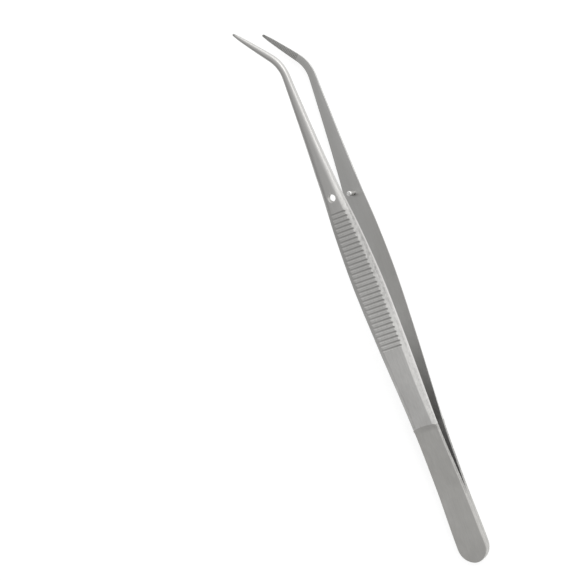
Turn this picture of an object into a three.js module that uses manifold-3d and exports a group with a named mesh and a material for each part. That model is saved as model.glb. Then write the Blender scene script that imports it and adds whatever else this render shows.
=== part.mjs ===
// College tweezers in stainless steel: two spring arms welded together at the butt, ribbed
// handles, half-round shanks and angled, toothed jaws, with a guide pin in the lower arm that
// enters a hole in the upper arm as the jaws close.
//
// The arms are drawn in a working frame: X runs from the butt to the jaws, Z = 0 is the plane
// midway between the arms, and the jaws bend towards +Y. The two arms are mirror images in Z.
// The finished group lies on the lower arm's outer face, with its origin on that face.
// Each arm is cut at the middle of its spring leaf, where it flexes, into a heel and a blade.

import * as THREE from 'three';
import { mergeVertices } from 'three/addons/utils/BufferGeometryUtils.js';
import Module from 'manifold-3d';

// ---- driving dimensions, in millimetres and degrees ----

const BEND_START = 134.0;       // where the straight arm ends, measured from the butt
const BEND_RADIUS = 10;
const BEND_ANGLE = THREE.MathUtils.degToRad(38.1);
const JAW_LENGTH = 12.2;        // straight part past the bend
const BUTT_ROUNDING = 4.4;      // length over which the butt is rounded in plan
const FLEX_X = 28;              // middle of the spring leaf
const SHOULDER_X = 37.6;        // end of the spring leaf
const GAP = 0.3;                // clearance between neighbouring solids

const REST_SLOPE = 0.0668;      // slope of the handle's flat outer face
const REST_HEIGHT = 1.415;      // height of that face's plane at the butt
const FLAT_FROM = 50;           // the handle's outer face is flat from here ...
const FLAT_TO = 98;             // ... to here
const ORIGIN_X = 55;            // the origin's place on that face

const WELD_END = 18.3;          // the weld between the arms ends here
const WELD_THICKNESS = 0.3;
const WELD_INSET = 0.35;

const EDGE_BREAK = 0.12;        // small chamfer on the inner edges and on the leaf
const GRIP_HALF_WIDTH = 4.2;    // the arm's size where the grip begins
const GRIP_THICKNESS = 1.75;
const BEVEL_WIDTH = 1.2;        // bevel along both sides of the handle, at that place
const BEVEL_DROP = 0.62;
const HANDLE_LEAN = 0.33;       // how far the handle's sides lean in, below the bevel

const RIB_FIRST = 59.8;         // transverse grooves of the grip
const RIB_PITCH = 1.237;
const RIB_COUNT = 31;
const RIB_RADIUS = 0.45;
const RIB_DEPTH = 0.17;

const TOOTH_PITCH = 0.48;       // transverse teeth of the jaws
const TOOTH_COUNT = 24;
const TOOTH_DEPTH = 0.18;
const TOOTH_LAST = 0.55;        // last tooth groove to the jaw's end

const PIN_X = 101.2;            // guide pin and its hole
const PIN_RADIUS = 0.68;
const PIN_RISE = 2.9;           // above the lower arm's inner face
const PIN_CHAMFER = 0.22;
const PIN_SEAT_CLEARANCE = 0.1;
const GUIDE_HOLE_RADIUS = 0.96;

const CUT_BEYOND = 1;           // how far every cutter reaches past the arm
const RIB_SIDES = 10;           // sides of the cylinder that cuts a groove of the grip
const TOOTH_SIDES = 4;          // sides of the bar that cuts a groove of the jaw
const ROUND_SIDES = 24;         // sides of the guide pin and of the holes for it

const JAW_END = BEND_START + BEND_RADIUS * BEND_ANGLE + JAW_LENGTH;

// Each list gives [distance along the arm from the butt, value].
const HALF_WIDTH = [
  [0, 4.02], [6, 3.99], [22, 3.66], [36, 3.42], [48, 3.78], [62, GRIP_HALF_WIDTH], [78, 4.36],
  [92, 3.72], [104, 2.61], [116, 1.86], [126, 1.4], [134, 1.08], [142, 0.95], [150, 0.61],
  [JAW_END, 0.3],
];
const INNER_FACE = [
  [WELD_END, 0], [32, 1.44], [42, 2.34], [54, 3.24], [68, 4.25], [84, 5.4], [98, 6.42],
  [112, 7.24], [126, 7.89], [150, 8.9], [JAW_END, 9.0],
];
const LEAF_OUTER_FACE = [
  [0, 1.15], [3, 1.38], [8, 1.56], [14, 1.58], [20, 1.6], [FLEX_X, 2.16], [SHOULDER_X, 2.93],
];
const HANDLE_OUTER_FACE = [[SHOULDER_X, 3.33], [44, 4.1], [FLAT_FROM, restPlane(FLAT_FROM)]];
const SHANK_OUTER_FACE = [
  [FLAT_TO, restPlane(FLAT_TO)], [104, 8.32], [112, 8.72], [126, 9.2], [138, 9.54], [150, 9.7],
  [JAW_END, 9.42],
];
// How the outer face turns from a bevelled flat into a half round: how far the sides lean in,
// the bevel's share of the half width, its share of the thickness, and its roundness.
const SIDE_LEAN = [[SHOULDER_X, 0], [44, 0.22], [50, HANDLE_LEAN], [94, HANDLE_LEAN], [108, 0]];
const CROWN_WIDTH = [
  [SHOULDER_X, 0.3], [62, BEVEL_WIDTH / GRIP_HALF_WIDTH], [94, 0.33], [104, 0.55], [112, 0.8],
  [120, 0.9], [JAW_END, 0.9],
];
const CROWN_DROP = [
  [SHOULDER_X, 0.4], [60, BEVEL_DROP / GRIP_THICKNESS], [94, 0.38], [104, 0.58], [112, 0.74],
  [JAW_END, 0.74],
];
const CROWN_ROUNDNESS = [[SHOULDER_X, 0], [94, 0], [104, 0.7], [112, 1], [JAW_END, 1]];
const CROWN_STEPS = 3;

const SATIN_STEEL = { color: 0xa9a9a5, roughness: 0.38, metalness: 1 };
const BRIGHT_STEEL = { color: 0xb8b8b4, roughness: 0.25, metalness: 1 };
const WELD_STEEL = { color: 0x9c9c98, roughness: 0.5, metalness: 1 };

const wasm = await Module();
wasm.setup();

// ---- the arm's shape ----

function restPlane(x) {
  return REST_HEIGHT + REST_SLOPE * x;
}

// Value at distance s of a list of stations: cubic spans that share their slopes.
function along(stations, s) {
  const last = stations.length - 1;
  if (s <= stations[0][0]) return stations[0][1];
  if (s >= stations[last][0]) return stations[last][1];
  const i = stations.findIndex((station) => station[0] > s) - 1;
  const slopeAt = (k) => {
    const [s0, v0] = stations[Math.max(k - 1, 0)];
    const [s1, v1] = stations[Math.min(k + 1, last)];
    return (v1 - v0) / (s1 - s0);
  };
  const [a, va] = stations[i];
  const [b, vb] = stations[i + 1];
  const span = b - a;
  const t = (s - a) / span;
  const rise = t * t * (3 - 2 * t);
  return va + (vb - va) * rise
    + span * t * (1 - t) * ((1 - t) * slopeAt(i) - t * slopeAt(i + 1));
}

function halfWidth(s) {
  const width = along(HALF_WIDTH, s);
  if (s >= BUTT_ROUNDING) return width;
  return width * Math.sqrt(1 - (1 - s / BUTT_ROUNDING) ** 2);
}

function innerFace(s) {
  return Math.max(along(INNER_FACE, s), WELD_THICKNESS / 2 + GAP);
}

function outerFace(s) {
  if (s < SHOULDER_X) return along(LEAF_OUTER_FACE, s);
  if (s < FLAT_FROM) return along(HANDLE_OUTER_FACE, s);
  if (s < FLAT_TO) return restPlane(s);
  return along(SHANK_OUTER_FACE, s);
}

// The arm's centre line in plan: a point and its heading.
function centreLine(s) {
  const turned = THREE.MathUtils.clamp((s - BEND_START) / BEND_RADIUS, 0, BEND_ANGLE);
  const beyond = Math.max(s - BEND_START - BEND_RADIUS * BEND_ANGLE, 0);
  const x = Math.min(s, BEND_START) + BEND_RADIUS * Math.sin(turned) + beyond * Math.cos(turned);
  const y = BEND_RADIUS * (1 - Math.cos(turned)) + beyond * Math.sin(turned);
  return { x, y, heading: turned };
}

// Points round the arm's cross-section at s, as [across, height], anticlockwise seen from the jaws.
function crossSection(s) {
  const w = halfWidth(s);
  const low = innerFace(s);
  const high = outerFace(s);
  const edge = Math.min(EDGE_BREAK, w / 3);
  const isLeaf = s < SHOULDER_X;
  const crownWidth = isLeaf ? edge : w * along(CROWN_WIDTH, s);
  const crownDrop = isLeaf ? EDGE_BREAK : (high - low) * along(CROWN_DROP, s);
  const roundness = isLeaf ? 0 : along(CROWN_ROUNDNESS, s);
  const brow = w - (isLeaf ? 0 : along(SIDE_LEAN, s));
  const right = [[w - edge, low], [w, low + EDGE_BREAK]];
  for (let i = 0; i <= CROWN_STEPS; i++) {
    const t = i / CROWN_STEPS;
    const angle = t * Math.PI / 2;
    const inward = THREE.MathUtils.lerp(t, 1 - Math.cos(angle), roundness);
    const upward = THREE.MathUtils.lerp(t, Math.sin(angle), roundness);
    right.push([brow - crownWidth * inward, high - crownDrop * (1 - upward)]);
  }
  const left = right.map(([across, height]) => [-across, height]).reverse();
  return [...right, ...left];
}

// Closed solid through the cross-sections at the given stations; side is 1 for the upper arm
// and -1 for the lower one, its mirror image.
function loftArm(stations, side) {
  const positions = [];
  const rings = stations.map((s) => {
    const { x, y, heading } = centreLine(s);
    const ring = crossSection(s).map(([across, height]) => [
      x - across * Math.sin(heading), y + across * Math.cos(heading), side * height,
    ]);
    const middle = [x, y, side * (innerFace(s) + outerFace(s)) / 2];
    return { ring, middle };
  });
  const count = rings[0].ring.length;
  for (const { ring } of rings) positions.push(...ring.flat());
  const startMiddle = positions.length / 3;
  positions.push(...rings[0].middle, ...rings[rings.length - 1].middle);

  const triangles = [];
  for (let j = 0; j < count; j++) {
    const next = (j + 1) % count;
    for (let i = 0; i < rings.length - 1; i++) {
      const here = i * count;
      const ahead = here + count;
      triangles.push([here + j, here + next, ahead + j], [here + next, ahead + next, ahead + j]);
    }
    const end = (rings.length - 1) * count;
    triangles.push([startMiddle, next, j], [startMiddle + 1, end + j, end + next]);
  }
  const geometry = new THREE.BufferGeometry();
  geometry.setAttribute('position', new THREE.Float32BufferAttribute(positions, 3));
  geometry.setIndex(triangles.map((t) => (side > 0 ? t : [t[0], t[2], t[1]])).flat());
  return geometry;
}

function evenSteps(from, to, count) {
  return Array.from({ length: count + 1 }, (_, i) => from + (to - from) * i / count);
}

const HEEL_STATIONS = [
  ...[0.01, 0.06, 0.16, 0.32, 0.55].map((t) => t * BUTT_ROUNDING),
  ...evenSteps(0.8 * BUTT_ROUNDING, FLEX_X - GAP / 2, 9),
];
const BLADE_STATIONS = [
  ...evenSteps(FLEX_X + GAP / 2, SHOULDER_X - 0.01, 4),
  ...evenSteps(SHOULDER_X + 0.25, FLAT_FROM, 5),
  ...evenSteps(FLAT_FROM + 6, FLAT_TO, 8),
  ...evenSteps(FLAT_TO + 3, BEND_START, 11),
  ...evenSteps(BEND_START, BEND_START + BEND_RADIUS * BEND_ANGLE, 6).slice(1),
  ...evenSteps(JAW_END - JAW_LENGTH + 2.5, JAW_END - 1.2, 4),
  JAW_END - 0.6, JAW_END - 0.2, JAW_END,
];

// ---- joining and cutting ----

function toSolid(geometry) {
  const bare = geometry.clone();
  bare.deleteAttribute('normal');
  bare.deleteAttribute('uv');
  const merged = mergeVertices(bare, 1e-5);
  return new wasm.Manifold(new wasm.Mesh({
    numProp: 3,
    vertProperties: new Float32Array(merged.attributes.position.array),
    triVerts: new Uint32Array(merged.index.array),
  }));
}

function toGeometry(solid) {
  const mesh = solid.getMesh();
  const geometry = new THREE.BufferGeometry();
  geometry.setAttribute('position', new THREE.BufferAttribute(new Float32Array(mesh.vertProperties), 3));
  geometry.setIndex(new THREE.BufferAttribute(new Uint32Array(mesh.triVerts), 1));
  geometry.computeVertexNormals();
  return geometry;
}

function cut(geometry, cutters) {
  const whole = toSolid(geometry);
  return toGeometry(cutters.reduce((solid, cutter) => solid.subtract(toSolid(cutter)), whole));
}

// Rounded grooves across the outer face of the grip.
function ribCutters(side) {
  return Array.from({ length: RIB_COUNT }, (_, i) => {
    const x = RIB_FIRST + i * RIB_PITCH;
    const length = 2 * (halfWidth(x) + CUT_BEYOND);
    const cutter = new THREE.CylinderGeometry(RIB_RADIUS, RIB_RADIUS, length, RIB_SIDES);
    return cutter.translate(x, 0, side * (restPlane(x) + RIB_RADIUS - RIB_DEPTH));
  });
}

// V grooves across the inner face of the jaw, square to its heading.
function toothCutters(side) {
  return Array.from({ length: TOOTH_COUNT }, (_, i) => {
    const s = JAW_END - TOOTH_LAST - i * TOOTH_PITCH;
    const { x, y, heading } = centreLine(s);
    const length = 2 * (halfWidth(s) + CUT_BEYOND);
    const cutter = new THREE.CylinderGeometry(TOOTH_DEPTH, TOOTH_DEPTH, length, TOOTH_SIDES);
    cutter.rotateZ(heading);
    return cutter.translate(x, y, side * innerFace(s));
  });
}

// A bar square to the arm's inner face at the guide pin, from its centre point on that face.
function atPin(geometry, side) {
  const slope = (innerFace(PIN_X + 1) - innerFace(PIN_X - 1)) / 2;
  geometry.rotateX(Math.PI / 2);
  geometry.rotateY(-side * Math.atan(slope));
  return geometry.translate(PIN_X, 0, side * innerFace(PIN_X));
}

function pinHoleCutter(radius, side) {
  const length = 2 * (outerFace(PIN_X) - innerFace(PIN_X) + CUT_BEYOND);
  return atPin(new THREE.CylinderGeometry(radius, radius, length, ROUND_SIDES), side);
}

// ---- the pieces ----

function heel(side) {
  return loftArm(HEEL_STATIONS, side);
}

function blade(side, holeRadius) {
  return cut(loftArm(BLADE_STATIONS, side), [
    ...ribCutters(side),
    ...toothCutters(side),
    pinHoleCutter(holeRadius, side),
  ]);
}

// The guide pin: flush with the lower arm's outer face, chamfered at its free end.
function guidePin() {
  const foot = innerFace(PIN_X) - outerFace(PIN_X) + GAP / 3;
  const profile = [
    [0, foot], [PIN_RADIUS, foot], [PIN_RADIUS, PIN_RISE - PIN_CHAMFER],
    [PIN_RADIUS - PIN_CHAMFER, PIN_RISE], [0, PIN_RISE],
  ].map(([radius, height]) => new THREE.Vector2(radius, height));
  return atPin(new THREE.LatheGeometry(profile, ROUND_SIDES), -1);
}

// The weld: a thin layer between the two heels, set back from their outline.
function buttWeld() {
  const outline = evenSteps(WELD_INSET, BUTT_ROUNDING, 6).map((s) => [s, halfWidth(s) - WELD_INSET]);
  outline.push([WELD_END, halfWidth(WELD_END) - WELD_INSET]);
  const shape = new THREE.Shape([
    ...outline.map(([x, y]) => new THREE.Vector2(x, -y)),
    ...outline.reverse().map(([x, y]) => new THREE.Vector2(x, y)),
  ]);
  const plate = new THREE.ExtrudeGeometry(shape, { depth: WELD_THICKNESS, bevelEnabled: false });
  return plate.translate(0, 0, -WELD_THICKNESS / 2);
}

function piece(name, geometry, finish) {
  const mesh = new THREE.Mesh(geometry, new THREE.MeshStandardMaterial(finish));
  mesh.name = name;
  return mesh;
}

// ---- assembly: turned to lie on the lower arm's flat handle face ----

const tweezers = new THREE.Group();
tweezers.add(
  piece('near_heel', heel(1), SATIN_STEEL),
  piece('far_heel', heel(-1), SATIN_STEEL),
  piece('butt_weld', buttWeld(), WELD_STEEL),
  piece('near_blade', blade(1, GUIDE_HOLE_RADIUS), SATIN_STEEL),
  piece('far_blade', blade(-1, PIN_RADIUS + PIN_SEAT_CLEARANCE), SATIN_STEEL),
  piece('guide_pin', guidePin(), BRIGHT_STEEL),
);
tweezers.rotation.y = -Math.atan(REST_SLOPE);
const origin = new THREE.Vector3(ORIGIN_X, 0, -restPlane(ORIGIN_X));
tweezers.position.copy(origin.applyEuler(tweezers.rotation).negate());

const part = new THREE.Group();
part.add(tweezers);
export default part;
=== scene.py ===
"""Looks for the angled college tweezers: two continuous steel arms, the guide pin and the weld.

Shapes are worked out in millimetres in a working frame, where X runs from the butt to the jaws,
Z = 0 is the plane midway between the arms and the jaws bend towards +Y, and are then placed in the
row frame, in metres, lying on the lower (far) arm's flat handle face.
"""
import math

import bmesh
import bpy
import numpy as np
from mathutils import Matrix, Vector


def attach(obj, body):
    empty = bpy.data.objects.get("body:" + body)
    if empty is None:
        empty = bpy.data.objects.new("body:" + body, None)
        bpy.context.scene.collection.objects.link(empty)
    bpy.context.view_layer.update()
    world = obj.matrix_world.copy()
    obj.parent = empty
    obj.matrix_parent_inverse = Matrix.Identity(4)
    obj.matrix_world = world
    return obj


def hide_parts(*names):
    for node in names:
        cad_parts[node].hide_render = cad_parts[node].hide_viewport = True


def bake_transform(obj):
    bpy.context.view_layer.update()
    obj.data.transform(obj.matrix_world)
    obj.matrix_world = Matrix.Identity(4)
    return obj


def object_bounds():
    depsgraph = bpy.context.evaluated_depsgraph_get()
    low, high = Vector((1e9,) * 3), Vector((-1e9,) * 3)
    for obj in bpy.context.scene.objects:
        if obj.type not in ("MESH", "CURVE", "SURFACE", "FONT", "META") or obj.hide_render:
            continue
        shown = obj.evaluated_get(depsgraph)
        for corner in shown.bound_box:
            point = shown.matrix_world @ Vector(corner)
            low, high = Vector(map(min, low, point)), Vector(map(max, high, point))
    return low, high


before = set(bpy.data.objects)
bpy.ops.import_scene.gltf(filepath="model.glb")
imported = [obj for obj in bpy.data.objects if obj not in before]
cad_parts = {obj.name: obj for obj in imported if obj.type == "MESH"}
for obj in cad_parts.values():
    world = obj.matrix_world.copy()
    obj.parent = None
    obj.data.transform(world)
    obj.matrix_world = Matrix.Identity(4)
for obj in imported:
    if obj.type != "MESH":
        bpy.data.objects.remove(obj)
CAD_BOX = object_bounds()

# ---- driving dimensions, the same as the CAD model's, in millimetres ----

BEND_START = 134.0
BEND_RADIUS = 10.0
BEND_ANGLE = math.radians(38.1)
JAW_LENGTH = 12.2
JAW_END = BEND_START + BEND_RADIUS * BEND_ANGLE + JAW_LENGTH
BUTT_ROUNDING = 4.4
SHOULDER_X = 37.6
REST_SLOPE = 0.0668
REST_HEIGHT = 1.415
FLAT_FROM = 50.0
FLAT_TO = 98.0
ORIGIN_X = 55.0
WELD_END = 18.3

GRIP_HALF_WIDTH = 4.2
GRIP_THICKNESS = 1.75
BEVEL_WIDTH = 1.2
BEVEL_DROP = 0.62
HANDLE_LEAN = 0.33
RIB_FIRST = 59.8
RIB_PITCH = 1.237
RIB_COUNT = 31
RIB_RADIUS = 0.45
RIB_DEPTH = 0.17
TOOTH_PITCH = 0.48
TOOTH_COUNT = 24
TOOTH_DEPTH = 0.18
TOOTH_LAST = 0.55
PIN_X = 101.2
PIN_RADIUS = 0.68
PIN_RISE = 2.9
GUIDE_HOLE_RADIUS = 0.96


def rest_plane(x):
    """Height of the handle's flat outer face, which is the plane the part lies on."""
    return REST_HEIGHT + REST_SLOPE * x


# Each list gives (distance along the arm from the butt, value).
HALF_WIDTH = [
    (0, 4.02), (6, 3.99), (22, 3.66), (36, 3.42), (48, 3.78), (62, GRIP_HALF_WIDTH), (78, 4.36),
    (92, 3.72), (104, 2.61), (116, 1.86), (126, 1.4), (134, 1.08), (142, 0.95), (150, 0.61),
    (JAW_END, 0.3),
]
INNER_FACE = [
    (WELD_END, 0.012), (32, 1.44), (42, 2.34), (54, 3.24), (68, 4.25), (84, 5.4), (98, 6.42),
    (112, 7.24), (126, 7.89), (150, 8.9), (JAW_END, 9.0),
]
LEAF_OUTER_FACE = [
    (0, 1.15), (3, 1.38), (8, 1.56), (14, 1.58), (20, 1.6), (28, 2.16), (SHOULDER_X, 2.93),
]
HANDLE_OUTER_FACE = [(SHOULDER_X, 3.33), (44, 4.1), (FLAT_FROM, rest_plane(FLAT_FROM))]
SHANK_OUTER_FACE = [
    (FLAT_TO, rest_plane(FLAT_TO)), (104, 8.32), (112, 8.72), (126, 9.2), (138, 9.54), (150, 9.7),
    (JAW_END, 9.42),
]
# How the outer face turns from a bevelled flat into a half round: how far the sides lean in,
# the bevel's share of the half width, its share of the thickness, and its roundness.
SIDE_LEAN = [(SHOULDER_X, 0), (44, 0.22), (50, HANDLE_LEAN), (94, HANDLE_LEAN), (108, 0)]
CROWN_WIDTH = [
    (SHOULDER_X, 0.3), (62, BEVEL_WIDTH / GRIP_HALF_WIDTH), (94, 0.33), (104, 0.55), (112, 0.8),
    (120, 0.9), (JAW_END, 0.9),
]
CROWN_DROP = [
    (SHOULDER_X, 0.4), (60, BEVEL_DROP / GRIP_THICKNESS), (94, 0.38), (104, 0.58), (112, 0.74),
    (JAW_END, 0.74),
]
CROWN_ROUNDNESS = [(SHOULDER_X, 0), (94, 0), (104, 0.7), (112, 1), (JAW_END, 1)]

# ---- visual detail, in millimetres ----

INNER_FILLET = 0.13             # rounding of the arm's inner edges
EDGE_FILLET = 0.11              # rounding of the bevel's two corners
SUPPORT = 0.06                  # distance of the extra edge line beside each rounding
RIM_ROUNDING = 0.16             # rounding of the butt's rim
BEAD_DEPTH = 0.03               # how far the weld seam lies below the arms' sides
BEAD_REACH = 0.7                # how far the seam runs past the weld's end
BEAD_RIPPLES = ((0.012, 9.0, 0.0), (0.008, 23.0, 1.0))  # (size, radians per mm, lag)
BEAD_CLEARANCE = 0.01           # twice the gap between its back and each arm's inner face
BEAD_BULGE = 0.11               # half height of its rounded front, beyond the arms' inner faces
BEAD_OF_WIDTH = 0.3             # share of the half width that this never passes
BEAD_CROWN = 0.8                # share of that height at the front's edges
BEAD_CROWN_DEPTH = 0.05         # how far those edges lie behind the front's middle
BEAD_BACK_DEPTH = 0.3           # how far its back does
LEAF_EDGE = 0.24                # bevel of the leaf's and the butt's outer edges
SHOULDER_ARCH = 0.4             # how far the middle of the shoulder's step bows towards the jaws
SHOULDER_REACH = 3.0            # length over which that bow dies out on each side
RIM_INSET = 0.05                # how far the butt's rim lies inside the CAD model's
JAW_INSET = 0.05                # how far the jaw's outer face lies inside the CAD model's
JAW_INSET_SPAN = (112, 138)     # stretch of the arm over which that inset comes in
INNER_RIM_SHARE = 0.6           # the butt's rim is rounded less on the inner face
TIP_ROUNDING = 0.32             # length over which the jaw's end draws in
TIP_THICKNESS = 0.35            # share of the thickness that doesn't draw in there
HOLE_FLARE = 0.14               # countersink of the guide hole, on both faces
HOLE_FLARE_OUTSIDE = (0.04, 0.02)  # how far it starts outside the inner and the outer face
CUT_BEYOND = 1.0                # how far the hole's cutter runs past the faces
PIN_ROUNDING = 0.36             # rounding of the pin's free end
PIN_TIP_FLAT = 0.15             # radius of the flat left on it
PIN_CROWN = 0.02                # height of the faint dome on it
PIN_HEAD = [                    # the peened head: (beyond the pin's radius, above the outer face)
    (-0.23, -0.01), (-0.1, -0.005), (0.04, 0.03), (0.04, 0.12), (0, 0.2),
]

# Shares of the arm's size at a place that the roundings above never pass.
FILLET_OF_WIDTH, FILLET_OF_THICKNESS = 0.22, 0.2
EDGE_OF_BEVEL = 0.3
SUPPORT_OF_WIDTH = 0.1

# Least squares of the draw-in at the butt and the jaw, which keep the end sections open.
BUTT_LEAST, TIP_LEAST = 1e-4, 0.02

# ---- how finely the meshes are divided ----

SECTIONS = {                    # cross-sections in each stretch of an arm
    "butt": 14, "leaf": 24, "shoulder": 14, "flat": 8, "shank": 46, "bend": 16, "jaw": 8,
}
BUTT_ANGLES = (2, 5, 9, 14, 20, 28, 37, 47, 58, 69, 80)  # degrees round the butt's end
GROOVE_SHARES = (-1.1, -1.0, -0.92, -0.7, -0.4, 0.0, 0.4, 0.7, 0.92, 1.0, 1.1)  # of its half width
TOOTH_FLOOR = 0.02              # half width of a tooth groove's floor
TIP_STEPS = (0.3, 0.2, 0.12, 0.06, 0.02, 0)  # distances from the jaw's end
BEVEL_POINTS = 7                # points between the roundings on the bevel
FLAT_POINTS = 2                 # points between the roundings on each flat
BEAD_ANGLES = range(6, 91, 7)   # degrees round the butt's end
BEAD_STEPS = 30                 # sections of the seam beyond it
ROUND_SIDES = 64                # sides of the pin and of the guide hole
PIN_RINGS = 8                   # parts of the pin's height; the top one is the rounding's
PIN_ROUNDING_STEP = 15          # degrees
SHOULDER_STEP = 0.16            # from the shoulder to the handle's first section
RIB_LEAD = 0.6                  # from the last section of the flat to the first groove
SECTION_GAP = 0.1               # least gap between the stretches that meet a cut one

# ---- marks on the meshes, which the materials read ----

# Strength of the "dull" mark at the bevel's foot, round its lower corner and on its face.
BEVEL_FOOT_MARK, BEVEL_CORNER_MARK, BEVEL_FACE_MARK = 0.7, 1.0, 0.6
# Stretches of the arm, as (start, end), over which a mark comes in or dies out.
GRIP_MARK_IN, GRIP_MARK_OUT = (64, 82), (94, 104)
LEAF_SIDE_IN, LEAF_SIDE_OUT = (12, 24), (30, 42)
# painted shade on the inner face between the arms, dying out towards the jaws over this stretch
GAP_SHADE_OUT = (28, 72)
FRONT_IN = (50, 108)
TIP_MARK_IN = (JAW_END - 1.8, JAW_END - 0.3)
GRIP_MARK_LEAST = 0.5           # how dull the bevel is from the shoulder to the first grooves
LEAF_SIDE_LEAST, LEAF_SIDE_RISE = 0.3, 0.6  # how dull the leaf's side is, and the rise mid-leaf
LEAF_SIDE_BAND = (0.93, 0.98)   # shares of the half width that bound the leaf's side
FLANK_LIGHT_IN = (-0.3, 1)            # shares of the half width, towards -Y, over which the painted light on that side comes in
GROOVE_SHADE, GROOVE_SHADE_LEAN = 0.7, 0.6  # painted shade in the grip's grooves on the centre line, and its rise towards -Y
TOOTH_SHADE = 0.12               # painted shade in the jaw's tooth grooves
CUT_TOLERANCE = 0.01            # a point moved by more than this lies in a groove
INNER_OUT = (0.02, 0.1)         # heights over the inner face at which its mark dies out
WEAR_WIDTH = 0.3                # width of the worn strip along the edges
PIN_ROOT_OUT = (0.1, 1.4)       # heights on the pin over which the painted shadow and grime at its root die out
PIN_TOP_OUT = (PIN_RISE - 0.5, PIN_RISE - 0.1)
PIN_SIDE_IN = (-0.3, 0.7)       # the same round the pin, as the cosine from the butt's side, where its painted shade lies
# painted shade on the pin's side towards the butt, and more at its root for a painted shadow and
# grime
PIN_SIDE_SHADE, PIN_ROOT_SHADE_AND_GRIME = 0.35, 0.6


# ---- the arm's shape ----

def along(stations, s):
    """Value at distance s of a list of stations: cubic spans that share their slopes."""
    last = len(stations) - 1
    if s <= stations[0][0]:
        return stations[0][1]
    if s >= stations[last][0]:
        return stations[last][1]
    i = next(k for k in range(1, last + 1) if stations[k][0] > s) - 1

    def slope(k):
        (s0, v0), (s1, v1) = stations[max(k - 1, 0)], stations[min(k + 1, last)]
        return (v1 - v0) / (s1 - s0)

    (a, va), (b, vb) = stations[i], stations[i + 1]
    span = b - a
    t = (s - a) / span
    rise = t * t * (3 - 2 * t)
    return va + (vb - va) * rise + span * t * (1 - t) * ((1 - t) * slope(i) - t * slope(i + 1))


def smooth_step(value, start, end):
    """0 up to start, 1 from end on, and an S-shaped rise between them."""
    t = min(max((value - start) / (end - start), 0), 1)
    return t * t * (3 - 2 * t)


def rim_shift(s):
    """How far the outline moves towards the jaws at distance s, to lie inside the CAD model's."""
    return RIM_INSET * max(1 - s / BUTT_ROUNDING, 0)


def rim_drop(s):
    """How far the faces draw in at distance s from the rim of the butt."""
    if s >= RIM_ROUNDING:
        return 0.0
    return RIM_ROUNDING - math.sqrt(RIM_ROUNDING ** 2 - (RIM_ROUNDING - s) ** 2)


def half_width(s):
    """Half the arm's width at distance s, rounded off at the butt."""
    width = along(HALF_WIDTH, s)
    if s >= BUTT_ROUNDING:
        return width
    return width * math.sqrt(max(1 - (1 - s / BUTT_ROUNDING) ** 2, BUTT_LEAST))


def inner_face(s):
    """Height of the arm's inner face over the plane midway between the arms."""
    return along(INNER_FACE, s) + rim_drop(s) * INNER_RIM_SHARE


def outer_face(s):
    """Height of the arm's outer face over that plane, on the centre line."""
    if s < SHOULDER_X:
        return along(LEAF_OUTER_FACE, s) - rim_drop(s)
    if s < FLAT_FROM:
        return along(HANDLE_OUTER_FACE, s)
    if s < FLAT_TO:
        return rest_plane(s)
    return along(SHANK_OUTER_FACE, s) - JAW_INSET * smooth_step(s, *JAW_INSET_SPAN)


def centre_line(s):
    """The arm's centre line in plan: a point and its heading."""
    turned = min(max((s - BEND_START) / BEND_RADIUS, 0), BEND_ANGLE)
    beyond = max(s - BEND_START - BEND_RADIUS * BEND_ANGLE, 0)
    x = min(s, BEND_START) + BEND_RADIUS * math.sin(turned) + beyond * math.cos(turned)
    y = BEND_RADIUS * (1 - math.cos(turned)) + beyond * math.sin(turned)
    return x, y, turned


def rounded_corner(before, corner, after, size, steps=4):
    """Points of a rounding at a corner between its two neighbours."""
    before, corner, after = (np.array(p, float) for p in (before, corner, after))
    start = corner + size * (before - corner) / np.linalg.norm(before - corner)
    end = corner + size * (after - corner) / np.linalg.norm(after - corner)
    points = []
    for i in range(steps):
        t = i / (steps - 1)
        points.append((1 - t) ** 2 * start + 2 * t * (1 - t) * corner + t ** 2 * end)
    return points


def between(a, b, count):
    """Evenly spaced points strictly between a and b."""
    a, b = np.array(a, float), np.array(b, float)
    return [a + (b - a) * (i + 1) / (count + 1) for i in range(count)]


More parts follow.
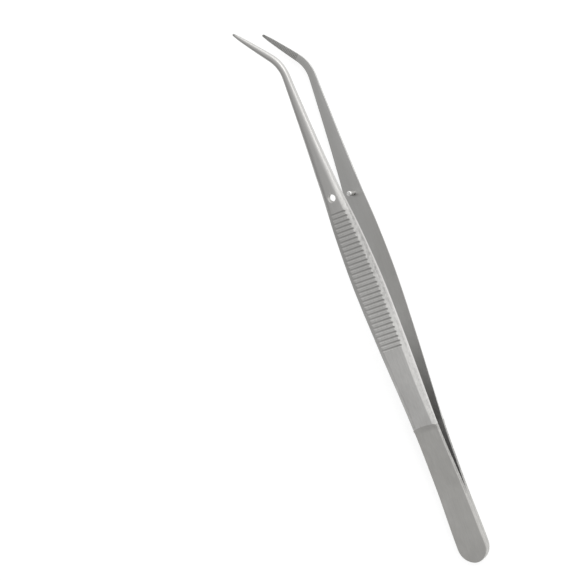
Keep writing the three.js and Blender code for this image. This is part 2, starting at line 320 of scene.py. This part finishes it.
def cross_section(s, shoulder):
    """Points round the arm's section at s as rows of (across, height), from the middle of the inner
    face towards +across, and for each the strength of the bevel's mark there.

    shoulder is 0 on the spring leaf, 1 on the handle, shank and jaw."""
    w, low, high = half_width(s), inner_face(s), outer_face(s)
    thick = high - low
    leaf_edge = min(LEAF_EDGE, w / 3)
    if shoulder:
        crown_width = w * along(CROWN_WIDTH, s)
        crown_drop = thick * along(CROWN_DROP, s)
        roundness = along(CROWN_ROUNDNESS, s)
        brow_w = w - along(SIDE_LEAN, s)
    else:
        crown_width, crown_drop, roundness = leaf_edge, min(leaf_edge, thick / 3), 0.0
        brow_w = w
    fillet = min(INNER_FILLET, FILLET_OF_WIDTH * w, FILLET_OF_THICKNESS * thick)
    edge = min(EDGE_FILLET, EDGE_OF_BEVEL * crown_width, EDGE_OF_BEVEL * crown_drop)
    support = min(SUPPORT, SUPPORT_OF_WIDTH * w)

    foot, side = (w, low), (brow_w, high - crown_drop)
    brow, middle = (brow_w - crown_width, high), (0.0, high)
    inner_round = rounded_corner((0, low), foot, side, fillet)
    side_round = rounded_corner(foot, side, brow, edge)
    brow_round = rounded_corner(side, brow, middle, edge)
    straight = side_round + between(side_round[-1], brow_round[0], BEVEL_POINTS) + brow_round
    crown = []
    for i, point in enumerate(straight):
        angle = i / (len(straight) - 1) * math.pi / 2
        oval = np.array([
            brow_w - crown_width * (1 - math.cos(angle)),
            high - crown_drop * (1 - math.sin(angle)),
        ])
        crown.append(point * (1 - roundness) + oval * roundness)
    inner_flat = inner_round[0] - np.array([support, 0])
    right = between((0, low), inner_flat, FLAT_POINTS) + [inner_flat] + inner_round
    right += between(inner_round[-1], crown[0], FLAT_POINTS)
    bevel = [0.0] * (len(right) - 1) + [BEVEL_FOOT_MARK]
    right += crown
    bevel += [BEVEL_CORNER_MARK] * len(side_round)
    bevel += [BEVEL_FACE_MARK] * (len(crown) - len(side_round) - 2)
    brow_flat = np.array([max(crown[-1][0] - support, 0.5 * crown[-1][0]), high])
    right += [brow_flat] + between(brow_flat, middle, FLAT_POINTS)
    bevel += [0.0] * (len(right) - len(bevel))
    right = np.array(right)
    left = right[::-1] * np.array([-1, 1])
    return np.vstack([[(0, low)], right, [middle], left]), [0.0] + bevel + [0.0] + bevel[::-1]


def rib_cut(s):
    """Depth of the grip's grooves at s."""
    i = round((s - RIB_FIRST) / RIB_PITCH)
    if not 0 <= i < RIB_COUNT:
        return 0.0
    off = s - RIB_FIRST - i * RIB_PITCH
    if abs(off) >= RIB_RADIUS:
        return 0.0
    return max(RIB_DEPTH - RIB_RADIUS + math.sqrt(RIB_RADIUS ** 2 - off ** 2), 0.0)


def tooth_cut(s):
    """Depth of the jaw's tooth grooves at s."""
    i = round((JAW_END - TOOTH_LAST - s) / TOOTH_PITCH)
    if not 0 <= i < TOOTH_COUNT:
        return 0.0
    off = abs(JAW_END - TOOTH_LAST - i * TOOTH_PITCH - s)
    return max(TOOTH_DEPTH - off, 0.0)


def arm_stations():
    """Distances along the arm of its cross-sections, each with its shoulder flag."""
    def even(a, b, count):
        return [a + (b - a) * i / count for i in range(count)]

    leaf = [BUTT_ROUNDING * (1 - math.cos(math.radians(t))) for t in BUTT_ANGLES]
    leaf += even(BUTT_ROUNDING, WELD_END, SECTIONS["butt"])
    leaf += even(WELD_END, SHOULDER_X, SECTIONS["leaf"])
    handle = even(SHOULDER_X + SHOULDER_STEP, FLAT_FROM, SECTIONS["shoulder"])
    handle += even(FLAT_FROM, RIB_FIRST - RIB_LEAD, SECTIONS["flat"])
    chord = math.sqrt(RIB_RADIUS ** 2 - (RIB_RADIUS - RIB_DEPTH) ** 2)
    grip = [
        RIB_FIRST + i * RIB_PITCH + share * chord
        for i in range(RIB_COUNT)
        for share in GROOVE_SHARES
    ]
    shank = even(grip[-1] + SECTION_GAP, BEND_START, SECTIONS["shank"])
    bend_end = BEND_START + BEND_RADIUS * BEND_ANGLE
    bend = even(BEND_START, bend_end, SECTIONS["bend"])
    teeth = [
        JAW_END - TOOTH_LAST - i * TOOTH_PITCH + off
        for i in reversed(range(TOOTH_COUNT))
        for off in (-TOOTH_DEPTH, -TOOTH_FLOOR, TOOTH_FLOOR, TOOTH_DEPTH)
    ]
    tip = [JAW_END - d for d in TIP_STEPS]
    plain = [
        s for s in bend + even(bend_end, JAW_END, SECTIONS["jaw"]) if s < teeth[0] - SECTION_GAP
    ]
    blade = handle + grip + shank + plain + teeth + tip
    return [(s, 0) for s in leaf] + [(SHOULDER_X, 0)] + [(s, 1) for s in sorted(blade)]


def to_row(points):
    """Points of the working frame, in millimetres, as points of the row frame, in metres."""
    tilt = math.atan(REST_SLOPE)
    turn = np.array(Matrix.Rotation(-tilt, 3, "Y"))
    origin = turn @ np.array([ORIGIN_X, 0, -rest_plane(ORIGIN_X)])
    return (np.asarray(points, float) @ turn.T - origin) / 1000


def tip_taper(s):
    """Share of the section's width at s, which draws in at the jaw's end to round it."""
    left = (JAW_END - s) / TIP_ROUNDING
    if left >= 1:
        return 1.0
    return math.sqrt(max(1 - (1 - left) ** 2, TIP_LEAST))


def build_mesh(name, vertices, faces, attributes=()):
    """A mesh object in the row frame, with per-vertex number attributes."""
    mesh = bpy.data.meshes.new(name)
    mesh.from_pydata([tuple(v) for v in vertices], [], faces)
    for label, values in attributes:
        layer = mesh.attributes.new(label, "FLOAT", "POINT")
        layer.data.foreach_set("value", np.asarray(values, np.float32))
    mesh.update()
    obj = bpy.data.objects.new(name, mesh)
    bpy.context.scene.collection.objects.link(obj)
    return obj


def shoulder_bow(s, across):
    """Shift along the arm that bows the step at the shoulder."""
    reach = max(1 - abs(s - SHOULDER_X) / SHOULDER_REACH, 0)
    return SHOULDER_ARCH * reach * (1 - min(abs(across) / half_width(s), 1) ** 2)


def loft_arm(name, side):
    """One continuous arm; side is 1 for the near (upper) arm and -1 for the far one.

    Vertex attributes tell the material where it is: wear (along the edges), recess_shade (painted
    shade in the grooves, and darker at the tip), leaf (on the spring leaf and the butt), inner (on
    the inner face), gap_shade (painted shade between the arms, towards the weld), front (from the
    handle to the shank), flank_light (painted light towards the -Y side) and dull (on the grip's
    bevel and the leaf's side, on that side)."""
    points = []
    marks = {
        label: [] for label in ("wear", "recess_shade", "leaf", "inner", "gap_shade", "front", "flank_light", "dull")
    }
    stations = arm_stations()
    for s, shoulder in stations:
        x, y, heading = centre_line(s)
        x += rim_shift(s)
        ring, bevel = cross_section(s, shoulder)
        low, high = ring[:, 1].min(), ring[:, 1].max()
        rib, tooth = rib_cut(s), tooth_cut(s)
        flat = ring.copy()
        ring[:, 1] = np.minimum(ring[:, 1], high - rib) if rib else ring[:, 1]
        ring[:, 1] = np.maximum(ring[:, 1], low + tooth) if tooth else ring[:, 1]
        taper = tip_taper(s)
        ring[:, 0] *= taper
        ring[:, 1] = low + (ring[:, 1] - low) * (TIP_THICKNESS + (1 - TIP_THICKNESS) * taper)
        grip = GRIP_MARK_LEAST + (1 - GRIP_MARK_LEAST) * smooth_step(s, *GRIP_MARK_IN)
        grip *= 1 - smooth_step(s, *GRIP_MARK_OUT)
        leaf_middle = smooth_step(s, *LEAF_SIDE_IN) * (1 - smooth_step(s, *LEAF_SIDE_OUT))
        leaf_side = LEAF_SIDE_LEAST + LEAF_SIDE_RISE * leaf_middle
        tip = smooth_step(s, *TIP_MARK_IN)
        for (across, height), (_, before), on_bevel in zip(ring, flat, bevel):
            ahead = x + shoulder_bow(s, across)
            points.append((
                ahead - across * math.sin(heading),
                y + across * math.cos(heading),
                side * height,
            ))
            share = across / half_width(s)
            groove_shade = 0
            # painted shade in the grip's grooves, stronger towards -Y, and in the jaw's tooth
            # grooves
            if before - height > CUT_TOLERANCE:
                groove_shade = min(rib / RIB_DEPTH, 1) * min(GROOVE_SHADE - GROOVE_SHADE_LEAN * share, 1)
            if height - before > CUT_TOLERANCE:
                groove_shade = TOOTH_SHADE
            dull = on_bevel * grip if shoulder else leaf_side * smooth_step(-share, *LEAF_SIDE_BAND)
            marks["recess_shade"].append(max(groove_shade, tip))
            marks["wear"].append(1 - min(abs(abs(across) - half_width(s)) / WEAR_WIDTH, 1))
            marks["leaf"].append(0 if shoulder else 1)
            marks["inner"].append(1 - smooth_step(before - low, *INNER_OUT))
            # painted shade between the arms, strongest towards the weld
            marks["gap_shade"].append(1 - smooth_step(s, *GAP_SHADE_OUT))
            marks["front"].append(smooth_step(s, *FRONT_IN))
            # painted light towards the -Y side
            marks["flank_light"].append(smooth_step(-share, *FLANK_LIGHT_IN))
            marks["dull"].append(dull if across < 0 else 0)
    count = len(ring)
    faces = []
    for i in range(len(stations) - 1):
        for j in range(count):
            k = (j + 1) % count
            quad = [i * count + j, i * count + k, (i + 1) * count + k, (i + 1) * count + j]
            faces.append(quad if side > 0 else quad[::-1])
    start, end = list(range(count)), list(range(len(points) - count, len(points)))
    faces += [start[::-1], end] if side > 0 else [start, end[::-1]]
    return build_mesh(name, to_row(points), faces, marks.items())


def pin_axis_turn(side):
    """Turn from Z to the normal of the arm's inner face at the guide pin."""
    slope = (inner_face(PIN_X + 1) - inner_face(PIN_X - 1)) / 2
    return Matrix.Rotation(-side * math.atan(slope), 3, "Y")


def lathe(name, profile, turn, centre, attributes=()):
    """Closed solid of revolution about Z, turned and set at centre, in the working frame.

    profile gives (radius, height) pairs from the bottom up, and attributes (label, function of the
    angle and height) pairs."""
    points, faces = [], []
    for radius, height in profile:
        for k in range(ROUND_SIDES):
            angle = 2 * math.pi * k / ROUND_SIDES
            points.append((radius * math.cos(angle), radius * math.sin(angle), height))
    rows = len(profile)
    for i in range(rows - 1):
        this, above = i * ROUND_SIDES, (i + 1) * ROUND_SIDES
        for k in range(ROUND_SIDES):
            n = (k + 1) % ROUND_SIDES
            faces.append([this + k, this + n, above + n, above + k])
    faces.append(list(range(ROUND_SIDES))[::-1])
    faces.append(list(range((rows - 1) * ROUND_SIDES, rows * ROUND_SIDES)))
    values = [
        (label, [mark(math.atan2(y, x), z) for x, y, z in points]) for label, mark in attributes
    ]
    turned = np.array(points) @ np.array(turn).T + np.array(centre)
    return build_mesh(name, to_row(turned), faces, values)


def pin_centre(side):
    """Where the guide pin's axis meets the arm's inner face."""
    return (PIN_X, 0, side * inner_face(PIN_X))


def cut_guide_hole(arm):
    """Bores the near arm for the guide pin, with a small countersink on both faces."""
    depth = outer_face(PIN_X) - inner_face(PIN_X)
    r, flare = GUIDE_HOLE_RADIUS, HOLE_FLARE
    below, above = HOLE_FLARE_OUTSIDE
    profile = [
        (r + CUT_BEYOND, -CUT_BEYOND), (r + flare, -below), (r, flare),
        (r, depth - flare), (r + flare, depth + above), (r + CUT_BEYOND, depth + CUT_BEYOND),
    ]
    cutter = lathe("hole_cutter", profile, pin_axis_turn(1), pin_centre(1))
    bore = arm.modifiers.new("bore", "BOOLEAN")
    bore.operation, bore.solver, bore.object = "DIFFERENCE", "EXACT", cutter
    bpy.context.view_layer.update()
    bored = arm.evaluated_get(bpy.context.evaluated_depsgraph_get())
    mesh = bpy.data.meshes.new_from_object(bored)
    arm.modifiers.clear()
    arm.data = mesh
    bpy.data.objects.remove(cutter)


def soften(obj, angle):
    """Smooth shading, kept sharp where faces meet at more than the angle, in degrees."""
    obj.data.polygons.foreach_set("use_smooth", [True] * len(obj.data.polygons))
    obj.data.set_sharp_from_angle(angle=math.radians(angle))


# ---- materials ----

ARM_SHARP_ANGLE = 35            # degrees between faces beyond which an edge stays sharp
SMALL_SHARP_ANGLE = 50

# Colours of the steel, linear; a pair is the dark and the light end of its mottling.
HANDLE_TONES = (0.675, 0.667, 0.65), (0.725, 0.718, 0.702)
LEAF_TONES = (0.55, 0.542, 0.521), (0.6, 0.592, 0.571)
INNER_TONES = (0.63, 0.626, 0.615), (0.69, 0.686, 0.675)
PIN_TONES = (0.76, 0.757, 0.745), (0.84, 0.835, 0.825)
WELD_TONES = (0.4, 0.396, 0.38), (0.47, 0.465, 0.45)
FLOOR_TONES = (0.45, 0.45, 0.45), (0.47, 0.47, 0.47)
SHANK_TONE = (0.53, 0.523, 0.51)
# painted shade on the inner face between the arms, towards the weld
INNER_GAP_SHADE_TONE = (0.23, 0.228, 0.22)
INNER_SHANK_TONE = (0.46, 0.457, 0.446)
# painted light towards the -Y side: a painted reflection on the inner face, a lighter tone on the
# outer faces
INNER_FLANK_LIGHT_TONE = (0.8, 0.797, 0.785)
FLANK_LIGHT_TONE = (0.9, 0.893, 0.875)
BRUSH_LINE_TONE = (0.4, 0.397, 0.385)
WORN_TONE = (0.68, 0.677, 0.665)
SCUFF_TONE = (0.27, 0.267, 0.26)
# painted shade in the grooves, also used to darken the jaw's end
RECESS_SHADE_TONE = (0.32, 0.317, 0.305)
# painted shade and grime, on the pin
SHADE_AND_GRIME_TONE = (0.14, 0.138, 0.13)

# Ranges of a noise or a mark over which its effect comes in.
MOST_OF_NOISE = (0.3, 0.7)
HANDLE_MOTTLE_RANGE = (0.32, 0.68)
BRUSH_LINE_RANGE = (0.4, 0.75)
BRUSH_ROUGH_RANGE = (0.35, 0.65)
WORN_RANGE = (0.55, 0.95)
WORN_SPECK_RANGE, WORN_SPECK_SHARES = (0.3, 0.6), (0.5, 1)
SCUFF_RANGE = (0.4, 0.6)

# How much of its tone a mark brings in at full strength.
INNER_SHANK_SHARE = 0.9
# shares of the painted light towards -Y, on the inner face and on the outer faces
INNER_FLANK_LIGHT_SHARE = 0.25
FLANK_LIGHT_SHARE, FLANK_LIGHT_SHARE_ON_LEAF = 0.18, 0.02
BRUSH_LINE_SHARE = 0.25
WORN_SHARE, WORN_SHARE_ON_LEAF = 0.4, 0.3
SCUFF_SHARES = (0.2, 0.85)
# share of the painted shade in the grooves and at the jaw's end
RECESS_SHADE_SHARE = 0.68

# Noises as (scale per metre, stretch along X, Y and Z, detail, roughness).
MOTTLE = (240, (1, 1.5, 1.5), 4, 0.55)
BRUSHING = (2600, (0.05, 1, 1), 3, 0.7)
SPECK = (5200, (1, 1, 1), 2, 0.55)
SCUFFS = (1500, (0.6, 1, 1), 5, 0.7)
SMALL_MOTTLE = (900, (1, 1, 1), 4, 0.55)
FLOOR_MOTTLE = (6, (1, 1, 1), 2, 0.55)

ARM_ROUGHNESS = (0.33, 0.41)
LEAF_ROUGHER = 0.08
BRUSHING_ROUGHER = (-0.02, 0.03)
PIN_ROUGHNESS = (0.16, 0.24)
WELD_ROUGHNESS = (0.38, 0.5)
ARM_RELIEF = 0.000003           # depth of the surface's grain, in metres
PIN_RELIEF = 0.000001
WELD_RELIEF = 0.000004


class Nodes:
    """A short way to write a material's node tree."""

    def __init__(self, name):
        self.material = bpy.data.materials.new(name)
        self.material.use_nodes = True
        self.tree = self.material.node_tree
        self.shader = self.tree.nodes["Principled BSDF"]
        self.place = self.add("ShaderNodeTexCoord").outputs["Object"]

    def add(self, kind, **settings):
        node = self.tree.nodes.new(kind)
        for key, value in settings.items():
            setattr(node, key, value)
        return node

    def link(self, output, target):
        self.tree.links.new(output, target)

    def noise(self, scale, stretch, detail, roughness):
        mapping = self.add("ShaderNodeMapping")
        mapping.inputs["Scale"].default_value = stretch
        self.link(self.place, mapping.inputs["Vector"])
        noise = self.add("ShaderNodeTexNoise")
        noise.inputs["Scale"].default_value = scale
        noise.inputs["Detail"].default_value = detail
        noise.inputs["Roughness"].default_value = roughness
        self.link(mapping.outputs["Vector"], noise.inputs["Vector"])
        return noise.outputs["Fac"]

    def attribute(self, name):
        """A mark on the mesh, from 0 to 1."""
        return self.add("ShaderNodeAttribute", attribute_name=name).outputs["Fac"]

    def span(self, value, low, high, to_low, to_high):
        """value, with low to high stretched over to_low to to_high and cut off there."""
        node = self.add("ShaderNodeMapRange")
        self.link(value, node.inputs["Value"])
        ends = {"From Min": low, "From Max": high, "To Min": to_low, "To Max": to_high}
        for label, number in ends.items():
            node.inputs[label].default_value = number
        return node.outputs["Result"]

    def maths(self, operation, a, b):
        node = self.add("ShaderNodeMath", operation=operation)
        for socket, value in zip(node.inputs, (a, b)):
            if isinstance(value, (int, float)):
                socket.default_value = value
            else:
                self.link(value, socket)
        return node.outputs[0]

    def mix(self, factor, a, b):
        """Colour a where factor is 0, and b where it is 1."""
        node = self.add("ShaderNodeMix", data_type="RGBA")
        self.link(factor, node.inputs["Factor"])
        for label, value in (("A", a), ("B", b)):
            socket = next(i for i in node.inputs if i.name == label and i.type == "RGBA")
            if isinstance(value, tuple):
                socket.default_value = (*value, 1)
            else:
                self.link(value, socket)
        return next(o for o in node.outputs if o.type == "RGBA")

    def bump(self, height, distance, normal=None):
        node = self.add("ShaderNodeBump")
        node.inputs["Distance"].default_value = distance
        node.inputs["Strength"].default_value = 1.0
        self.link(height, node.inputs["Height"])
        if normal is not None:
            self.link(normal, node.inputs["Normal"])
        return node.outputs["Normal"]


def arm_finish():
    """Satin stainless steel: plain on the handle, duller on the leaf and butt, greyer on the shank.

    It has fine lengthwise brushing, soft mottling, brighter worn edges, painted shade in the
    grooves, at the jaw's end and between the arms towards the weld, painted light towards the -Y
    side, and a scuffed bevel."""
    n = Nodes("arm_satin_steel")
    n.shader.inputs["Metallic"].default_value = 1.0
    leaf, inner = n.attribute("leaf"), n.attribute("inner")
    mottle, brushing = n.noise(*MOTTLE), n.noise(*BRUSHING)
    speck, scuffs = n.noise(*SPECK), n.noise(*SCUFFS)

    def marked(name, share):
        return n.maths("MULTIPLY", n.attribute(name), share)

    tone = n.mix(n.span(mottle, *HANDLE_MOTTLE_RANGE, 0, 1), *HANDLE_TONES)
    tone = n.mix(n.attribute("front"), tone, SHANK_TONE)
    leaf_tone = n.mix(n.span(mottle, *MOST_OF_NOISE, 0, 1), *LEAF_TONES)
    inner_tone = n.mix(n.span(brushing, *MOST_OF_NOISE, 0, 1), *INNER_TONES)
    # painted shade on the inner face between the arms, towards the weld
    inner_tone = n.mix(n.attribute("gap_shade"), inner_tone, INNER_GAP_SHADE_TONE)
    inner_tone = n.mix(marked("front", INNER_SHANK_SHARE), inner_tone, INNER_SHANK_TONE)
    # painted reflection: the inner face brighter towards -Y
    inner_tone = n.mix(marked("flank_light", INNER_FLANK_LIGHT_SHARE), inner_tone, INNER_FLANK_LIGHT_TONE)
    tone = n.mix(leaf, tone, leaf_tone)
    # painted light: the outer faces brighter towards -Y, less so on the leaf
    lit = marked("flank_light", n.span(leaf, 0, 1, FLANK_LIGHT_SHARE, FLANK_LIGHT_SHARE_ON_LEAF))
    tone = n.mix(lit, tone, FLANK_LIGHT_TONE)
    tone = n.mix(inner, tone, inner_tone)
    brushed = n.span(brushing, *BRUSH_LINE_RANGE, 0, BRUSH_LINE_SHARE)
    tone = n.mix(brushed, tone, BRUSH_LINE_TONE)

    worn = n.span(n.attribute("wear"), *WORN_RANGE, 0, WORN_SHARE)
    worn = n.maths("MULTIPLY", worn, n.span(speck, *WORN_SPECK_RANGE, *WORN_SPECK_SHARES))
    worn = n.maths("MULTIPLY", worn, n.span(leaf, 0, 1, 1, WORN_SHARE_ON_LEAF))
    tone = n.mix(worn, tone, WORN_TONE)
    scuffed = marked("dull", n.span(scuffs, *SCUFF_RANGE, *SCUFF_SHARES))
    tone = n.mix(scuffed, tone, SCUFF_TONE)
    # painted shade in the grooves, and darker at the jaw's end
    tone = n.mix(marked("recess_shade", RECESS_SHADE_SHARE), tone, RECESS_SHADE_TONE)
    n.link(tone, n.shader.inputs["Base Color"])

    rough = n.span(mottle, *MOST_OF_NOISE, *ARM_ROUGHNESS)
    rough = n.maths("ADD", rough, n.maths("MULTIPLY", leaf, LEAF_ROUGHER))
    rough = n.maths("ADD", rough, n.span(brushing, *BRUSH_ROUGH_RANGE, *BRUSHING_ROUGHER))
    n.link(rough, n.shader.inputs["Roughness"])
    lines = n.bump(brushing, ARM_RELIEF)
    n.link(n.bump(speck, ARM_RELIEF, normal=lines), n.shader.inputs["Normal"])
    return n.material


def plain_finish(name, tones, roughness, relief):
    """Steel of the small pieces: soft mottling, a fine grain, and painted shade with grime where
    the mesh says so.
    """
    n = Nodes(name)
    n.shader.inputs["Metallic"].default_value = 1.0
    mottle, speck = n.noise(*SMALL_MOTTLE), n.noise(*SPECK)
    tone = n.mix(n.span(mottle, *MOST_OF_NOISE, 0, 1), *tones)
    n.link(n.mix(n.attribute("shade_and_grime"), tone, SHADE_AND_GRIME_TONE), n.shader.inputs["Base Color"])
    n.link(n.span(speck, *MOST_OF_NOISE, *roughness), n.shader.inputs["Roughness"])
    n.link(n.bump(speck, relief), n.shader.inputs["Normal"])
    return n.material


def floor_finish():
    """Plain pale floor that gives off a little light, so that no shadow falls hard on it."""
    n = Nodes("studio_floor")
    n.shader.inputs["Roughness"].default_value = 0.9
    n.shader.inputs["Specular IOR Level"].default_value = 0.0
    n.link(n.mix(n.noise(*FLOOR_MOTTLE), *FLOOR_TONES), n.shader.inputs["Base Color"])
    n.shader.inputs["Emission Color"].default_value = (1, 1, 1, 1)
    n.shader.inputs["Emission Strength"].default_value = FLOOR_GLOW
    return n.material


# ---- the pieces ----

ARM_FINISH = arm_finish()
PIN_FINISH = plain_finish("pin_steel", PIN_TONES, PIN_ROUGHNESS, PIN_RELIEF)
WELD_FINISH = plain_finish("weld_steel", WELD_TONES, WELD_ROUGHNESS, WELD_RELIEF)


def make_arm(name, side, body, *nodes):
    """One arm, from the butt through the spring leaf to the jaw; the near one is bored for the
    guide pin.
    """
    arm = loft_arm(name, side)
    if side > 0:
        cut_guide_hole(arm)
    soften(arm, ARM_SHARP_ANGLE)
    arm.data.materials.clear()
    arm.data.materials.append(ARM_FINISH)
    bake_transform(arm)
    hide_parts(*nodes)


def pin_shade_and_grime(angle, height):
    """Painted shade and grime on the pin: on the side towards the butt, strongest round its root,
    where it stands for the pin's shadow as well as grime.
    """
    root = 1 - smooth_step(height, *PIN_ROOT_OUT)
    side = smooth_step(-math.cos(angle), *PIN_SIDE_IN)
    body = 1 - smooth_step(height, *PIN_TOP_OUT)
    return side * (PIN_SIDE_SHADE + PIN_ROOT_SHADE_AND_GRIME * root) * body


def make_pin():
    """The pin: rounded at its free end, with a low peened head on the arm's outer face."""
    foot = inner_face(PIN_X) - outer_face(PIN_X)
    r, top = PIN_RADIUS, PIN_RISE
    profile = [(r + spread, foot + height) for spread, height in PIN_HEAD]
    profile += [(r, top * i / PIN_RINGS) for i in range(PIN_RINGS - 1)]
    for degrees in range(0, 91, PIN_ROUNDING_STEP):
        a = math.radians(degrees)
        radius = r - PIN_ROUNDING * (1 - math.cos(a))
        profile.append((radius, top - PIN_ROUNDING * (1 - math.sin(a)) - PIN_CROWN))
    profile.append((PIN_TIP_FLAT, top - PIN_CROWN / 2))
    turn = pin_axis_turn(-1)
    # the pin carries painted shade and grime on its side towards the butt
    pin = lathe("guide_pin_turned", profile, turn, pin_centre(-1), [("shade_and_grime", pin_shade_and_grime)])
    soften(pin, SMALL_SHARP_ANGLE)
    pin.data.materials.append(PIN_FINISH)
    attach(pin, "far_arm")
    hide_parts("guide_pin")


def make_weld():
    """The seam of weld metal between the arms, along the butt's outline just below their sides."""
    reach, steps = WELD_END + BEAD_REACH, BEAD_STEPS
    stations = [BUTT_ROUNDING * (1 - math.cos(math.radians(t))) for t in BEAD_ANGLES]
    stations += [BUTT_ROUNDING + (reach - BUTT_ROUNDING) * i / steps for i in range(1, steps + 1)]
    outline = []
    for s in stations:
        ripple = sum(size * math.sin(pace * s + lag) for size, pace, lag in BEAD_RIPPLES)
        x = max(s, BEAD_DEPTH) + rim_shift(s)
        outline.append((x, half_width(s) - BEAD_DEPTH + ripple, s))
    path = [(x, -y, s) for x, y, s in reversed(outline)] + outline
    points, faces = [], []
    for x, y, s in path:
        gap = max(inner_face(s) - BEAD_CLEARANCE, 0.0)
        shoulder = (min(BEAD_BULGE, half_width(s) * BEAD_OF_WIDTH) + gap) * BEAD_CROWN
        back = gap + BEAD_CLEARANCE / 2
        inward = np.array([BUTT_ROUNDING - x if x < BUTT_ROUNDING else 0.0, -y])
        inward = inward / np.linalg.norm(inward)
        section = [
            (0, 0), (BEAD_CROWN_DEPTH, shoulder), (BEAD_BACK_DEPTH, back),
            (BEAD_BACK_DEPTH, -back), (BEAD_CROWN_DEPTH, -shoulder),
        ]
        for depth, height in section:
            points.append((x + inward[0] * depth, y + inward[1] * depth, height))
    rows, sides = len(path), len(section)
    for i in range(rows - 1):
        for k in range(sides):
            this, n = i * sides, (k + 1) % sides
            faces.append([this + k, this + sides + k, this + sides + n, this + n])
    faces.append(list(range(sides))[::-1])
    faces.append([(rows - 1) * sides + k for k in range(sides)])
    weld = build_mesh("butt_weld_seam", to_row(points), faces)
    work = bmesh.new()
    work.from_mesh(weld.data)
    bmesh.ops.recalc_face_normals(work, faces=work.faces)
    work.to_mesh(weld.data)
    work.free()
    soften(weld, SMALL_SHARP_ANGLE)
    weld.data.materials.append(WELD_FINISH)
    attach(weld, "butt")
    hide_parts("butt_weld")


make_arm("near_arm_steel", 1, "near_arm", "near_heel", "near_blade")
make_arm("far_arm_steel", -1, "far_arm", "far_heel", "far_blade")
make_pin()
make_weld()

# ---- studio ----

CAMERA_PLACE = (77.44, -154.45, 376.6)       # working frame, in millimetres
CAMERA_FORWARD = (0.0131, 0.4278, -0.9038)
CAMERA_UP = (0.9379, -0.3185, -0.1371)
CAMERA_LENS = 96.99
CAMERA_CLIP = (0.01, 10)        # metres, as below

FLOOR_SIZE = 6
FLOOR_GAP = 0.00005             # between the floor and the part
FLOOR_GLOW = 0.7
KEY_PLACE = (0.5, -0.75, 0.85)
KEY_SIZE = (1.0, 0.55)
KEY_POWER = 2.0
WORLD_PEAK = 1.15
WORLD_LEAN = 0.45               # how much brighter it is towards +X, and dimmer towards -X
# Brightness against the direction's place between -Y (0) and +Y (1).
WORLD_LEVELS = [
    (0.0, 0.8), (0.07, 0.9), (0.146, 1.0), (0.29, 0.86), (0.41, 0.68), (0.5, 0.62), (0.71, 0.52),
    (1.0, 0.3),
]


def make_camera():
    """The camera fitted to the photograph."""
    place, ahead, top = to_row([
        CAMERA_PLACE,
        np.add(CAMERA_PLACE, CAMERA_FORWARD),
        np.add(CAMERA_PLACE, CAMERA_UP),
    ])
    forward = Vector(ahead - place).normalized()
    up = Vector(top - place)
    right = forward.cross(up).normalized()
    up = right.cross(forward)
    camera = bpy.data.objects.new("camera", bpy.data.cameras.new("camera"))
    camera.data.lens = CAMERA_LENS
    camera.data.clip_start, camera.data.clip_end = CAMERA_CLIP
    turn = Matrix((right, up, -forward)).transposed().to_4x4()
    camera.matrix_world = Matrix.Translation(place) @ turn
    bpy.context.scene.collection.objects.link(camera)
    bpy.context.scene.camera = camera


def softbox(name, place, target, size, power):
    """A rectangular area light that faces its target."""
    light = bpy.data.objects.new(name, bpy.data.lights.new(name, "AREA"))
    light.data.shape = "RECTANGLE"
    light.data.size, light.data.size_y = size
    light.data.energy = power
    light.location = place
    light.rotation_mode = "QUATERNION"
    light.rotation_quaternion = (Vector(target) - Vector(place)).to_track_quat("-Z", "Y")
    bpy.context.scene.collection.objects.link(light)


def make_world():
    """Soft light from all round: brightest towards -Y and +X, dimmest towards +Y and -X."""
    world = bpy.data.worlds.new("studio")
    world.use_nodes = True
    nodes, links = world.node_tree.nodes, world.node_tree.links
    place = nodes.new("ShaderNodeTexCoord")
    split = nodes.new("ShaderNodeSeparateXYZ")
    level = nodes.new("ShaderNodeFloatCurve")
    share = nodes.new("ShaderNodeMapRange")
    share.inputs["From Min"].default_value, share.inputs["From Max"].default_value = -1, 1
    points = level.mapping.curves[0].points
    points[0].location, points[1].location = WORLD_LEVELS[0], WORLD_LEVELS[-1]
    for spot in WORLD_LEVELS[1:-1]:
        points.new(*spot)
    level.mapping.update()
    lean = nodes.new("ShaderNodeMapRange")
    lean.inputs["From Min"].default_value, lean.inputs["From Max"].default_value = -1, 1
    lean.inputs["To Min"].default_value = WORLD_PEAK * (1 - WORLD_LEAN)
    lean.inputs["To Max"].default_value = WORLD_PEAK * (1 + WORLD_LEAN)
    strength = nodes.new("ShaderNodeMath")
    strength.operation = "MULTIPLY"
    links.new(place.outputs["Generated"], split.inputs["Vector"])
    links.new(split.outputs["Y"], share.inputs["Value"])
    links.new(share.outputs["Result"], level.inputs["Value"])
    links.new(split.outputs["X"], lean.inputs["Value"])
    links.new(level.outputs["Value"], strength.inputs[0])
    links.new(lean.outputs["Result"], strength.inputs[1])
    links.new(strength.outputs["Value"], nodes["Background"].inputs["Strength"])
    nodes["Background"].inputs["Color"].default_value = (1, 1, 1, 1)
    bpy.context.scene.world = world


def make_studio():
    """The floor, the lights and the plain colour response."""
    low, high = CAD_BOX
    bpy.ops.mesh.primitive_plane_add(size=FLOOR_SIZE, location=(0, 0, low.z - FLOOR_GAP))
    floor = bpy.context.object
    floor.name = "studio_floor"
    floor.data.materials.append(floor_finish())
    middle = (low + high) / 2
    softbox("key_softbox", KEY_PLACE, middle, KEY_SIZE, KEY_POWER)
    make_world()
    bpy.context.scene.view_settings.view_transform = "Standard"


make_camera()
make_studio()
